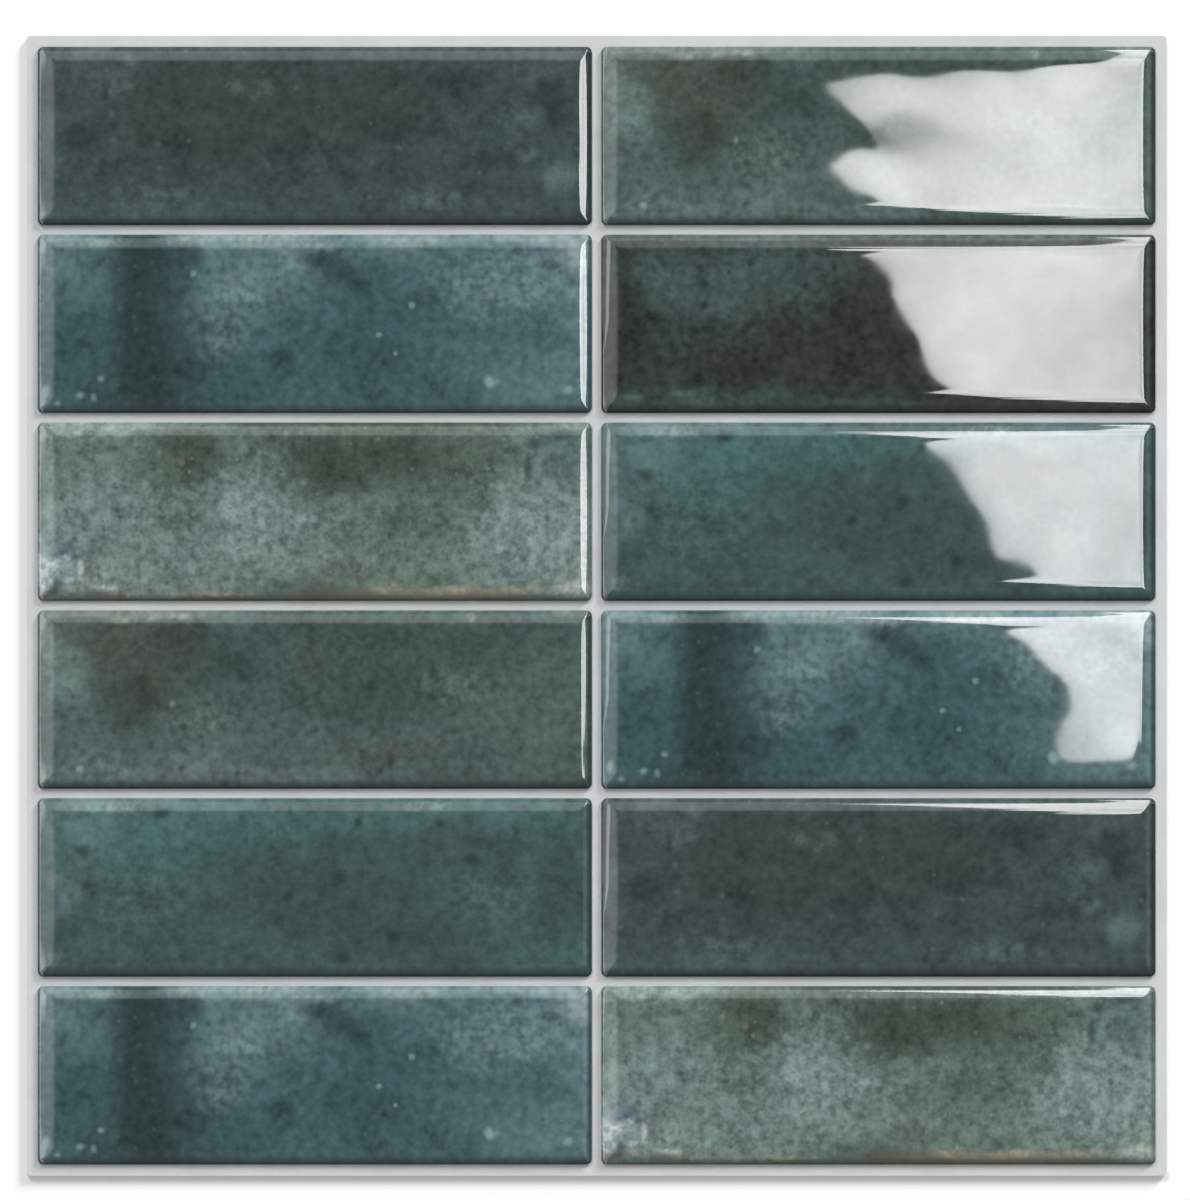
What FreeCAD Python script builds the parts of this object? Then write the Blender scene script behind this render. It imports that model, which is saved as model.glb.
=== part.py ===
"""Peel and stick backsplash tile, a square sheet that sticks to a kitchen wall. Millimetres.

Twelve glossy oblong tiles, two across and six up, are bonded to a grey vinyl sheet that shows between
them as the grout lines. Behind the sheet come a film of adhesive and the release liner that is peeled
away before the sheet is pressed to the wall. The sheet lies face up: +X runs along the tiles, +Y is up
the wall, and the origin is at the middle of the liner's outer face.
"""

import FreeCAD, Part
import math
import os

# The pattern.
COLUMNS = ("left", "right")
ROWS = 6
TILE_LENGTH = 148.15
TILE_WIDTH = 47.72
GROUT_JOINT = 2.5
OUTER_MARGIN = 3.0

# One tile: a low upright edge, a rolled border that rises to the field, and a flat field.
TILE_THICKNESS = 1.5
TILE_EDGE_HEIGHT = 0.6
TILE_CORNER_RADIUS = 1.6
BORDER_WIDTH = 4.0
ARRIS_RADIUS = 0.3

# The layers that the tiles sit on, from the wall outwards.
LINER_THICKNESS = 0.1
ADHESIVE_THICKNESS = 0.15
VINYL_THICKNESS = 0.9
SHEET_CORNER_RADIUS = 1.2

# What follows from them.
PITCH_X = TILE_LENGTH + GROUT_JOINT
PITCH_Y = TILE_WIDTH + GROUT_JOINT
SHEET_LENGTH = len(COLUMNS) * PITCH_X - GROUT_JOINT + 2 * OUTER_MARGIN
SHEET_WIDTH = ROWS * PITCH_Y - GROUT_JOINT + 2 * OUTER_MARGIN
ADHESIVE_Z = LINER_THICKNESS
VINYL_Z = ADHESIVE_Z + ADHESIVE_THICKNESS
TILE_Z = VINYL_Z + VINYL_THICKNESS

ORIGIN = FreeCAD.Vector(0, 0, 0)
UP = FreeCAD.Vector(0, 0, 1)
TOUCHING = 0.001


def rounded_plate(length, width, thickness, corner_radius):
    """A flat plate with rounded corners, centred on the Z axis and standing on z = 0."""
    plate = Part.makeBox(length, width, thickness, FreeCAD.Vector(-length / 2, -width / 2, 0))
    upright = [edge for edge in plate.Edges if edge.BoundBox.ZLength > TOUCHING]
    return plate.makeFillet(corner_radius, upright)


def border_height(inset):
    """Height of the rolled border at a distance in from the tile's edge: an arc tangent to the field."""
    drop = TILE_THICKNESS - TILE_EDGE_HEIGHT
    radius = (BORDER_WIDTH ** 2 + drop ** 2) / (2 * drop)
    return TILE_THICKNESS - radius + math.sqrt(radius ** 2 - (BORDER_WIDTH - inset) ** 2)


def border_arc(edge, inner_inset):
    """The border's arc in the XZ plane, from the upright edge at x = edge in to an inset from it."""
    side = math.copysign(1, edge)
    insets = (0, inner_inset / 2, inner_inset)
    return Part.Arc(*[FreeCAD.Vector(edge - side * i, 0, border_height(i)) for i in insets]).toShape()


def closed_face(curves, corners):
    """A face in the XZ plane, bounded by curves and by straight lines through each list of corners."""
    lines = []
    for run in corners:
        points = [FreeCAD.Vector(x, 0, z) for x, z in run]
        lines += [Part.LineSegment(a, b).toShape() for a, b in zip(points, points[1:])]
    return Part.Face(Part.Wire(Part.sortEdges(curves + lines)[0]))


def pillow_bar(span, length):
    """A bar along Y whose section across X is the tile's: upright edges, rolled borders and flat field."""
    edge, field = span / 2, span / 2 - BORDER_WIDTH
    foot = [(-edge, TILE_EDGE_HEIGHT), (-edge, 0), (edge, 0), (edge, TILE_EDGE_HEIGHT)]
    top = [(-field, TILE_THICKNESS), (field, TILE_THICKNESS)]
    section = closed_face([border_arc(-edge, BORDER_WIDTH), border_arc(edge, BORDER_WIDTH)], [foot, top])
    section.translate(FreeCAD.Vector(0, -length / 2, 0))
    return section.extrude(FreeCAD.Vector(0, length, 0))


def corner_turn():
    """The edge and border turned through a right angle, for the corner towards +X and +Y."""
    radius = TILE_CORNER_RADIUS
    foot = [(0, border_height(radius)), (0, 0), (radius, 0), (radius, TILE_EDGE_HEIGHT)]
    return closed_face([border_arc(radius, radius)], [foot]).revolve(ORIGIN, UP, 90)


def in_each_corner(shape):
    """Copies of a shape made for the corner towards +X and +Y, one turned into each corner's centre."""
    x, y = TILE_LENGTH / 2 - TILE_CORNER_RADIUS, TILE_WIDTH / 2 - TILE_CORNER_RADIUS
    copies = []
    for turn, (side_x, side_y) in enumerate(((1, 1), (-1, 1), (-1, -1), (1, -1))):
        copy = shape.copy()
        copy.rotate(ORIGIN, UP, 90 * turn)
        copy.translate(FreeCAD.Vector(side_x * x, side_y * y, 0))
        copies.append(copy)
    return copies


def tile_blank():
    """One tile: two crossed bars share it, so that the borders meet in mitres, and its corners are turned."""
    across = pillow_bar(TILE_LENGTH, TILE_WIDTH)
    along = pillow_bar(TILE_WIDTH, TILE_LENGTH)
    along.rotate(ORIGIN, UP, 90)
    square_corner = Part.makeBox(TILE_CORNER_RADIUS, TILE_CORNER_RADIUS, TILE_THICKNESS)
    tile = across.common(along).cut(in_each_corner(square_corner))
    tile = tile.fuse(in_each_corner(corner_turn())).removeSplitter()
    return tile.makeFillet(ARRIS_RADIUS, arris_edges(tile)).Solids[0]


def arris_edges(tile):
    """The loop of edges where the upright edge meets the border, all at one height."""
    def on_rim(vertex):
        return abs(vertex.Z - TILE_EDGE_HEIGHT) < TOUCHING

    return [edge for edge in tile.Edges if all(on_rim(v) for v in edge.Vertexes)]


def layer(thickness, z):
    """A layer of the whole sheet's outline, with its underside at height z."""
    plate = rounded_plate(SHEET_LENGTH, SHEET_WIDTH, thickness, SHEET_CORNER_RADIUS)
    plate.translate(UP * z)
    return plate


def tiles():
    """Every tile in its place, named by its row from the top of the sheet and its column."""
    blank = tile_blank()
    placed = {}
    for row in range(ROWS):
        y = ((ROWS - 1) / 2 - row) * PITCH_Y
        for column, side in enumerate(COLUMNS):
            x = (column - (len(COLUMNS) - 1) / 2) * PITCH_X
            tile = blank.copy()
            tile.translate(FreeCAD.Vector(x, y, TILE_Z))
            placed[f"tile_row{row + 1}_{side}"] = tile
    return placed


def build():
    parts = {
        "release_liner": layer(LINER_THICKNESS, 0),
        "adhesive_film": layer(ADHESIVE_THICKNESS, ADHESIVE_Z),
        "vinyl_sheet": layer(VINYL_THICKNESS, VINYL_Z),
    }
    parts.update(tiles())
    os.makedirs("parts", exist_ok=True)
    for name, shape in parts.items():
        shape.exportStep(f"parts/{name}.step")
    return parts


for part_name, solid in build().items():
    box = solid.BoundBox
    print(f"{part_name}: {box.XLength:.2f} x {box.YLength:.2f} x {box.ZLength:.2f} mm,"
          f" {solid.Volume / 1000:.2f} cm3, valid {solid.isValid()}")
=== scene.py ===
import bpy
import numpy as np
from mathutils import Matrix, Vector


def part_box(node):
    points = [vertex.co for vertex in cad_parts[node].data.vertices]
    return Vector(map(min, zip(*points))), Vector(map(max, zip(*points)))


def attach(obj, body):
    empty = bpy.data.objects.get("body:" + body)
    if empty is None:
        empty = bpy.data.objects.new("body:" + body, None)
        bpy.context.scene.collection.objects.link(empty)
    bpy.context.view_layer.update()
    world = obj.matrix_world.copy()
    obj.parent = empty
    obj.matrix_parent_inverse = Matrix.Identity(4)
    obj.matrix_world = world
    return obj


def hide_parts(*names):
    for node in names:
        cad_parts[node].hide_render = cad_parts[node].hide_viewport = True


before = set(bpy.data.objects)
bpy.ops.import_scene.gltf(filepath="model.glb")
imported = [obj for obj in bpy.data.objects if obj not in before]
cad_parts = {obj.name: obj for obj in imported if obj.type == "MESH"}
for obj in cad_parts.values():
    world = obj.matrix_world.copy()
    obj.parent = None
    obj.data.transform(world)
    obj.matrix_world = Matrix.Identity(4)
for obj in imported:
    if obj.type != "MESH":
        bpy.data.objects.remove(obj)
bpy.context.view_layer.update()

# Release liner
# A sheet of thin paper, coated on one side so that it peels off the adhesive. It is the outermost
# layer of the back and is cut to the outline of the sheet, so only its edge shows from the front.
MM = 0.001
LINER_COLOUR = (226, 222, 210)
LINER_FIBRE_COLOUR = (198, 190, 172)
LINER_FIBRE_SIZE = 1.4 * MM
LINER_FIBRE_RANGE = (0.45, 0.7)
LINER_TOOTH = 0.01 * MM


def colour(red, green, blue):
    """A screen colour, 0 to 255 in each channel, as a shader's linear colour, by the sRGB curve."""
    share = np.array((red, green, blue)) / 255
    linear = np.where(share <= 0.04045, share / 12.92, ((share + 0.055) / 1.055) ** 2.4)
    return (*linear.tolist(), 1)


def put(tree, kind, inputs=(), **settings):
    """Adds a node with its settings. Each input is linked to an output or set to a value."""
    made = tree.nodes.new(kind)
    for name, value in settings.items():
        setattr(made, name, value)
    for socket, value in dict(inputs).items():
        if isinstance(value, bpy.types.NodeSocket):
            tree.links.new(value, made.inputs[socket])
        else:
            made.inputs[socket].default_value = value
    return made


def maths(tree, operation, *values):
    """The output of one Math node."""
    return put(tree, "ShaderNodeMath", enumerate(values), operation=operation).outputs[0]


def ease(tree, value, start, end):
    """0 where the value is at start, 1 where it is at end, with a smooth step between."""
    inputs = {"Value": value, "From Min": start, "From Max": end}
    return put(tree, "ShaderNodeMapRange", inputs, interpolation_type="SMOOTHSTEP").outputs["Result"]


def blend(tree, share, under, over):
    """One colour laid over another by a share. A Mix node's inputs 6 and 7 are its two colours."""
    mix = put(tree, "ShaderNodeMix", {0: share, 6: under, 7: over}, data_type="RGBA")
    return mix.outputs[2]


def new_finish(name, roughness, ior):
    """An empty material with a Principled shader: its node tree, its shader and itself."""
    material = bpy.data.materials.new(name)
    material.use_nodes = True
    shader = material.node_tree.nodes["Principled BSDF"]
    shader.inputs["Roughness"].default_value = roughness
    shader.inputs["IOR"].default_value = ior
    return material.node_tree, shader, material


def new_group(name, inputs, outputs):
    """A shader node group with the named sockets, and its input and output nodes."""
    tree = bpy.data.node_groups.new(name, "ShaderNodeTree")
    for direction, sockets in (("INPUT", inputs), ("OUTPUT", outputs)):
        for socket, kind in sockets.items():
            tree.interface.new_socket(socket, in_out=direction, socket_type="NodeSocket" + kind)
    return tree, tree.nodes.new("NodeGroupInput").outputs, tree.nodes.new("NodeGroupOutput").inputs


def use_group(tree, group, **inputs):
    """Places a node group and returns its outputs."""
    return put(tree, "ShaderNodeGroup", inputs, node_tree=group).outputs


def grain_group():
    """Grain of a pressed or calendered surface: two sizes of noise, one four times as fine."""
    tree, given, out = new_group(
        "pressed grain", {"Coordinate": "Vector", "Size": "Float"}, {"Coarse": "Float", "Fine": "Float"}
    )
    for name, finer in (("Coarse", 1), ("Fine", 4)):
        scale = maths(tree, "DIVIDE", finer, given["Size"])
        noise = put(tree, "ShaderNodeTexNoise",
                    {"Vector": given["Coordinate"], "Scale": scale, "Detail": 4, "Roughness": 0.6})
        tree.links.new(noise.outputs["Fac"], out[name])
    return tree


grain = grain_group()


def relief(tree, shader, height, depth):
    """Bumps the shader's normal by a height from 0 to 1 that stands for a real depth."""
    bump = put(tree, "ShaderNodeBump", {"Height": height, "Distance": depth, "Strength": 1})
    tree.links.new(bump.outputs["Normal"], shader.inputs["Normal"])


def paper():
    """Coated paper: pale, with short fibres that show through the coating."""
    tree, shader, material = new_finish("liner paper", roughness=0.38, ior=1.45)
    place = put(tree, "ShaderNodeTexCoord").outputs["Object"]
    marks = use_group(tree, grain, Coordinate=place, Size=LINER_FIBRE_SIZE)
    fibre = ease(tree, marks["Coarse"], *LINER_FIBRE_RANGE)
    tint = blend(tree, fibre, colour(*LINER_COLOUR), colour(*LINER_FIBRE_COLOUR))
    tree.links.new(tint, shader.inputs["Base Color"])
    relief(tree, shader, marks["Fine"], LINER_TOOTH)
    return material


def dress(node, material):
    """Gives a CAD node its material."""
    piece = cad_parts[node]
    piece.data.materials.clear()
    piece.data.materials.append(material)


dress("release_liner", paper())

# Adhesive film
# A transfer film of acrylic adhesive over the whole back of the vinyl. It is milky where light gets
# into its cut edge, and the streaks of the coating roller run along the sheet.
ADHESIVE_COLOUR = (214, 212, 200)
ADHESIVE_STREAK_COLOUR = (190, 187, 172)
STREAK_WIDTH = 0.9 * MM
STREAK_LENGTH = 8 * STREAK_WIDTH
STREAK_RANGE = (0.4, 0.65)
STREAK_DEPTH = 0.01 * MM


def acrylic_film():
    """Milky film: streaks are grain stretched along X."""
    tree, shader, material = new_finish("acrylic adhesive", roughness=0.3, ior=1.47)
    place = put(tree, "ShaderNodeTexCoord").outputs["Object"]
    squeeze = (STREAK_WIDTH / STREAK_LENGTH, 1, 1)
    stretch = put(tree, "ShaderNodeMapping", {"Vector": place, "Scale": squeeze})
    marks = use_group(tree, grain, Coordinate=stretch.outputs["Vector"], Size=STREAK_WIDTH)
    streak = ease(tree, marks["Coarse"], *STREAK_RANGE)
    tint = blend(tree, streak, colour(*ADHESIVE_COLOUR), colour(*ADHESIVE_STREAK_COLOUR))
    tree.links.new(tint, shader.inputs["Base Color"])
    relief(tree, shader, marks["Fine"], STREAK_DEPTH)
    return material


dress("adhesive_film", acrylic_film())

# Vinyl sheet
# A calendered sheet of light grey PVC that carries the tiles. It shows between them as the grout
# lines and round them as a margin, and its matt face is finely pebbled like a cement joint.
VINYL_COLOUR = (206, 208, 209)
VINYL_DULL_COLOUR = (197, 198, 199)
PEBBLE_SIZE = 0.7 * MM
PEBBLE_DEPTH = 0.03 * MM
HOLLOW_DULLNESS = 0.4
CLOUDING_SIZE = 16 * MM
CLOUD_DULLNESS = 0.8
DULLNESS_RANGE = (0.35, 0.85)


def pebbled_vinyl():
    """Matt vinyl: a pebbled face, with faint clouding and duller hollows between the pebbles."""
    tree, shader, material = new_finish("pebbled vinyl", roughness=0.72, ior=1.46)
    place = put(tree, "ShaderNodeTexCoord").outputs["Object"]
    pebbles = use_group(tree, grain, Coordinate=place, Size=PEBBLE_SIZE)
    clouds = use_group(tree, grain, Coordinate=place, Size=CLOUDING_SIZE)
    hollows = maths(tree, "MULTIPLY", pebbles["Fine"], HOLLOW_DULLNESS)
    dullness = maths(tree, "MULTIPLY_ADD", clouds["Coarse"], CLOUD_DULLNESS, hollows)
    dull = ease(tree, dullness, *DULLNESS_RANGE)
    tint = blend(tree, dull, colour(*VINYL_COLOUR), colour(*VINYL_DULL_COLOUR))
    tree.links.new(tint, shader.inputs["Base Color"])
    relief(tree, shader, pebbles["Coarse"], PEBBLE_DEPTH)
    return material


dress("vinyl_sheet", pebbled_vinyl())

# Tile faces
# Each tile is a cast drop of clear resin over a printed face. It has a low upright edge, a sloping
# border and a field that looks flat but swells a little, so that a window's reflection wavers in it.
tile_low, tile_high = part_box("tile_row1_left")
LENGTH, WIDTH, THICKNESS = tile_high - tile_low
CORNER_RADIUS = 1.6 * MM
ARRIS_RADIUS = 0.3 * MM
ARRIS_SLOPE = 0.5
ARRIS_STEPS = 6

# A border has a reach and a softness, and its lip has a drop and a reach.
BORDER_DROP = 0.9 * MM
UPPER_BORDER = (2.45 * MM, 0.8 * MM)
UPPER_LIP = (0.45 * MM, 0.64 * MM)
LOWER_BORDER = (3.8 * MM, 0.65 * MM)
LOWER_LIP = (0.31 * MM, 0.35 * MM)
LOWER_NARROWING = 0.28
LEFT_BORDER = (4.3 * MM, 0.5 * MM)
LEFT_NARROWING = 0.15
RIGHT_BORDER = (3.24 * MM, 0.5 * MM)
RIGHT_NARROWING = (0.12, 0.33)
SIDE_LIP = (0.24 * MM, 0.8 * MM)
CRISP_LIP_REACH = 0.12 * MM
SOFT_LIP_START = -0.3
SOFT_LIP_EASE = 0.35
MITRE_SHARPNESS = 12

# The swell is two sets of waves: how many, their slope, and their shortest and longest length.
SWELLS = ((3, 0.0009, 18 * MM, 45 * MM), (3, 0.0003, 7 * MM, 12 * MM))
TILT_SLOPE = 0.0006
CLEARANCE = 0.004 * MM

# The steps of the grid: the first in from the arris, the rest of the border's, and the field's.
FIRST_STEP = 0.16 * MM
BORDER_STEP = 0.24 * MM
BORDER_END = 7.2 * MM
FIELD_STEP = 0.8 * MM


def roll(inset, reach, softness, lip):
    """A border's drop: an even slope that eases out into the field at its reach, and a lip at the edge.

    The slope is a logistic curve, so its drop is that curve's integral. The lip decays exponentially.
    """
    lip_drop, lip_reach = lip
    slope = (BORDER_DROP - lip_drop) / reach
    ramp = slope * softness * np.logaddexp(0, (reach - inset) / softness)
    return ramp + lip_drop * np.exp(-inset / lip_reach)


def north_border(inset):
    """The long upper border, tighter than the lower one."""
    return roll(inset, *UPPER_BORDER, UPPER_LIP)


def south_border(inset, along):
    """The long lower border, narrower towards the right end of its length, by the cube of the way."""
    reach, softness = LOWER_BORDER
    return roll(inset, reach * (1 - LOWER_NARROWING * np.maximum(along, 0) ** 3), softness, LOWER_LIP)


def west_border(inset, along, soft):
    """The left border, narrower at its ends, by the square of the way. Its lip is crisp.

    On a soft-lipped tile the lip is only crisp low down, and eases into a softer one further up.
    """
    crisp = 1 - np.clip((along - SOFT_LIP_START) / SOFT_LIP_EASE, 0, 1) * soft
    lip_drop, lip_reach = SIDE_LIP
    lip = (lip_drop, lip_reach + (CRISP_LIP_REACH - lip_reach) * crisp)
    reach, softness = LEFT_BORDER
    return roll(inset, reach * (1 - LEFT_NARROWING * along ** 2), softness, lip)


def east_border(inset, along):
    """The right border, narrower at its ends, by the square and the eighth power of the way."""
    reach, softness = RIGHT_BORDER
    gently, sharply = RIGHT_NARROWING
    return roll(inset, reach * (1 - gently * along ** 2 - sharply * along ** 8), softness, SIDE_LIP)


def rim_stations():
    """Insets and drops of the upright edge and of the arris, an arc from the edge to the border."""
    lean = np.arctan(ARRIS_SLOPE)
    turn = np.linspace(np.pi, np.pi / 2 + lean, ARRIS_STEPS)
    inset = ARRIS_RADIUS * (1 + np.cos(turn))
    height = ARRIS_RADIUS * np.sin(turn)
    drop = BORDER_DROP - ARRIS_SLOPE * inset[-1] + height[-1] - height
    return np.append(0, inset), np.append(THICKNESS, drop)


def stations(span):
    """Stations from one edge of the tile to the other: places, insets, and rim drops (0 past the arris)."""
    rim_inset, rim_drop = rim_stations()
    border = np.arange(rim_inset[-1] + FIRST_STEP, BORDER_END, BORDER_STEP)
    half = span / 2 - border[-1]
    field = np.linspace(-half, half, int(2 * half / FIELD_STEP) + 1)[1:-1]
    near = np.concatenate((rim_inset, border))
    place = np.concatenate((near - span / 2, field, (span / 2 - near)[::-1]))
    inset = np.concatenate((near, span / 2 - abs(field), near[::-1]))
    level = np.zeros(len(field) + 2 * len(border))
    return place, inset, np.concatenate((rim_drop, level, rim_drop[::-1]))


def turned_corners(x, y, inset_x, inset_y):
    """Moves the stations of each corner square onto arcs about the corner's centre.

    In the square both insets are under the corner's radius. The smaller inset says which arc a point
    is on, and how far the other has got from that inset to the radius says how far round it is.
    """
    ring = np.minimum(inset_x, inset_y)
    other = np.maximum(inset_x, inset_y)
    inside = other < CORNER_RADIUS
    radius = CORNER_RADIUS - ring
    share = np.where(inside, (other - ring) / np.where(inside, radius, 1), 1)
    turn = np.pi / 4 * (1 - share)
    turn = np.where(inset_x <= inset_y, turn, np.pi / 2 - turn)
    centre_x = LENGTH / 2 - CORNER_RADIUS
    centre_y = WIDTH / 2 - CORNER_RADIUS
    x = np.where(inside, np.sign(x) * (centre_x + radius * np.cos(turn)), x)
    y = np.where(inside, np.sign(y) * (centre_y + radius * np.sin(turn)), y)
    return x, y


def swell(x, y, seed):
    """How far the face lies below its highest level: long and short waves and a tilt, from one seed."""
    random = np.random.default_rng(seed)
    depth = np.zeros_like(x)
    for waves, slope, shortest, longest in SWELLS:
        for _ in range(waves):
            length = random.uniform(shortest, longest)
            heading, phase = random.uniform(0, 2 * np.pi, 2)
            run = (x * np.cos(heading) + y * np.sin(heading)) * 2 * np.pi / length
            depth += slope * length / (2 * np.pi) * (1 + np.sin(run + phase))
    heading = random.uniform(0, 2 * np.pi)
    fall = x * np.cos(heading) + y * np.sin(heading)
    return depth + TILT_SLOPE * (fall - fall.min())


def tile_points(seed, soft):
    """The face of a tile round its own centre, as a grid of points, with its foot at z = 0.

    Height is the thickness less the drops of the four borders, joined by a high power mean so that
    they meet in mitres, and less the swell, which lowers the rim along with the field.
    """
    places_x, insets_x, rims_x = stations(LENGTH)
    places_y, insets_y, rims_y = stations(WIDTH)
    x, y = np.meshgrid(places_x, places_y, indexing="ij")
    inset_x, inset_y = np.meshgrid(insets_x, insets_y, indexing="ij")
    rim_x, rim_y = np.meshgrid(rims_x, rims_y, indexing="ij")
    along = y / (WIDTH / 2)
    ends = np.where(x < 0, west_border(inset_x, along, soft), east_border(inset_x, along))
    sides = np.where(y < 0, south_border(inset_y, x / (LENGTH / 2)), north_border(inset_y))
    ends = np.where(rim_x > 0, rim_x, ends)
    sides = np.where(rim_y > 0, rim_y, sides)
    drop = (ends ** MITRE_SHARPNESS + sides ** MITRE_SHARPNESS) ** (1 / MITRE_SHARPNESS)
    x, y = turned_corners(x, y, inset_x, inset_y)
    z = THICKNESS - drop - CLEARANCE - swell(x, y, seed)
    return np.stack((x, y, np.maximum(z, 0)), axis=-1)


def grid_faces(number):
    """A face for each cell of a grid of numbered points, its corners anticlockwise seen from above."""
    corners = (number[:-1, :-1], number[1:, :-1], number[1:, 1:], number[:-1, 1:])
    return np.stack(corners, axis=-1).reshape(-1, 4).tolist()


def tile_mesh(name, points, foot):
    """A closed mesh: the grid of the face, and one flat underside bounded by its outline.

    It stands with its centre at the foot. Its own map runs from 0 to 1 along and up the tile.
    """
    number = np.arange(points[..., 0].size).reshape(points.shape[:2])
    outline = np.concatenate((number[0, :-1], number[:-1, -1], number[-1, :0:-1], number[:0:-1, 0]))
    mesh = bpy.data.meshes.new(name)
    placed = points.reshape(-1, 3) + np.array(foot)
    mesh.from_pydata(placed, [], [*grid_faces(number), outline.tolist()])
    smooth = np.ones(len(mesh.polygons), bool)
    smooth[-1] = False
    mesh.polygons.foreach_set("use_smooth", smooth)
    corners = np.empty(len(mesh.loops), int)
    mesh.loops.foreach_get("vertex_index", corners)
    share = points.reshape(-1, 3)[:, :2] / (LENGTH, WIDTH) + 0.5
    mesh.uv_layers.new(name="glaze").data.foreach_set("uv", share[corners].ravel())
    return mesh


# Glazes
# The printed face under the resin copies a reactive glaze: a deep ground that breaks into clouds,
# darker pools, pale bloom and specks. Painted light makes it paler on the left and upper rims, and
# painted shade darkens the other two. There are six designs. Places and sizes on a tile's face are
# in millimetres.
LENGTH_MM = LENGTH / MM
WIDTH_MM = WIDTH / MM
RAGGED_DRIFT = {"Wide": 6.0, "Narrow": 2.2}
CRISP_DRIFT = {"Wide": 0.0, "Narrow": 1.2}
DRIFT_SIZES = {"Wide": 14.0, "Narrow": 3.2}
SMALLEST_SPECK = 0.4
FLECK_RANGE = (0.34, 0.7)
MARK_SOFTNESS = 0.8
# Painted shade on the right and lower rims, painted light on the left and upper ones, in millimetres.
RIGHT_SHADE = (1.5, 0.7)
LOWER_SHADE = (2.9, 0.8)
LOWER_SHADE_SHARE = 0.85
LEFT_PAINTED_LIGHT = (4.8, 3.6)
UPPER_PAINTED_LIGHT = (4.4, 2.6)
PAINTED_LIGHT_GAIN = 0.24
SMOOTHEST_GLAZE = 0.02
CLOUD_ROUGHNESS = 0.02
GLAZE_RIPPLE = 0.0012 * MM


def vectors(tree, operation, first, second):
    """The output of one Vector Math node. A vector is scaled by a number, in a socket of its own."""
    other = "Scale" if operation == "SCALE" else 1
    return put(tree, "ShaderNodeVectorMath", {0: first, other: second}, operation=operation).outputs[0]


def position_group():
    """From the tile's own map, which runs from 0 to 1, to millimetres from the tile's centre."""
    tree, given, out = new_group("tile position", {"Map": "Vector"}, {"Position": "Vector"})
    centred = vectors(tree, "SUBTRACT", given["Map"], (0.5, 0.5, 0))
    position = vectors(tree, "MULTIPLY", centred, (LENGTH_MM, WIDTH_MM, 0))
    tree.links.new(position, out["Position"])
    return tree


def rim_group():
    """Painted light and shade on a glaze's rims, each by an ease over its distance from the tile's edge.

    The gain is over 1 on the left and upper rims, a painted light. The painted shade rises from 0
    to 1 on the right and lower rims.
    """
    tree, given, out = new_group("painted rim light and shade", {"Position": "Vector"}, {"Gain": "Float", "Shade": "Float"})
    axes = put(tree, "ShaderNodeSeparateXYZ", {0: given["Position"]}).outputs
    left = ease(tree, maths(tree, "ADD", axes["X"], LENGTH_MM / 2), *LEFT_PAINTED_LIGHT)
    above = ease(tree, maths(tree, "SUBTRACT", WIDTH_MM / 2, axes["Y"]), *UPPER_PAINTED_LIGHT)
    right = ease(tree, maths(tree, "SUBTRACT", LENGTH_MM / 2, axes["X"]), *RIGHT_SHADE)
    lower = ease(tree, maths(tree, "ADD", axes["Y"], WIDTH_MM / 2), *LOWER_SHADE)
    lit_rims = maths(tree, "MAXIMUM", left, above)
    dark = maths(tree, "MAXIMUM", right, maths(tree, "MULTIPLY", lower, LOWER_SHADE_SHARE))
    tree.links.new(maths(tree, "MULTIPLY_ADD", lit_rims, PAINTED_LIGHT_GAIN, 1), out["Gain"])
    tree.links.new(dark, out["Shade"])
    return tree


def drift_group():
    """Position shaken by noise of two sizes, so that what is laid by it gets a ragged outline."""
    tree, given, out = new_group(
        "drift", {"Position": "Vector", "Wide": "Float", "Narrow": "Float"}, {"Position": "Vector"}
    )
    place = given["Position"]
    for name, size in DRIFT_SIZES.items():
        noise = put(tree, "ShaderNodeTexNoise",
                    {"Vector": given["Position"], "Scale": 1 / size, "Detail": 2, "Roughness": 0.6})
        shift = vectors(tree, "SUBTRACT", noise.outputs["Color"], (0.5, 0.5, 0.5))
        place = vectors(tree, "ADD", place, vectors(tree, "SCALE", shift, given[name]))
    tree.links.new(vectors(tree, "MULTIPLY", place, (1, 1, 0)), out["Position"])
    return tree


def pool_group():
    """A pool of colour: 1 inside an ellipse, 0 outside, with a soft shore of the given width."""
    tree, given, out = new_group(
        "pool",
        {"Position": "Vector", "Centre": "Vector", "Reach": "Vector", "Softness": "Float"},
        {"Mask": "Float"},
    )
    offset = vectors(tree, "SUBTRACT", given["Position"], given["Centre"])
    ratio = vectors(tree, "DIVIDE", offset, given["Reach"])
    far = put(tree, "ShaderNodeVectorMath", {0: ratio}, operation="LENGTH").outputs["Value"]
    outer = maths(tree, "ADD", 1, given["Softness"])
    inner = maths(tree, "SUBTRACT", 1, given["Softness"])
    tree.links.new(ease(tree, far, outer, inner), out["Mask"])
    return tree


def mottle_group():
    """Broken colour: clouds, flecks a third of their size and fine grain, each from 0 to 1."""
    tree, given, out = new_group(
        "mottle",
        {"Position": "Vector", "Size": "Float", "Seed": "Float"},
        {"Cloud": "Float", "Fleck": "Float", "Grain": "Float"},
    )
    for name, finer, detail in (("Cloud", 1, 2), ("Fleck", 3.4, 1.2), ("Grain", 9, 1)):
        scale = maths(tree, "DIVIDE", finer, given["Size"])
        noise = put(tree, "ShaderNodeTexNoise",
                    {"Vector": given["Position"], "W": given["Seed"], "Scale": scale, "Detail": detail,
                     "Roughness": 0.6}, noise_dimensions="4D")
        tree.links.new(noise.outputs["Fac"], out[name])
    return tree


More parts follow.
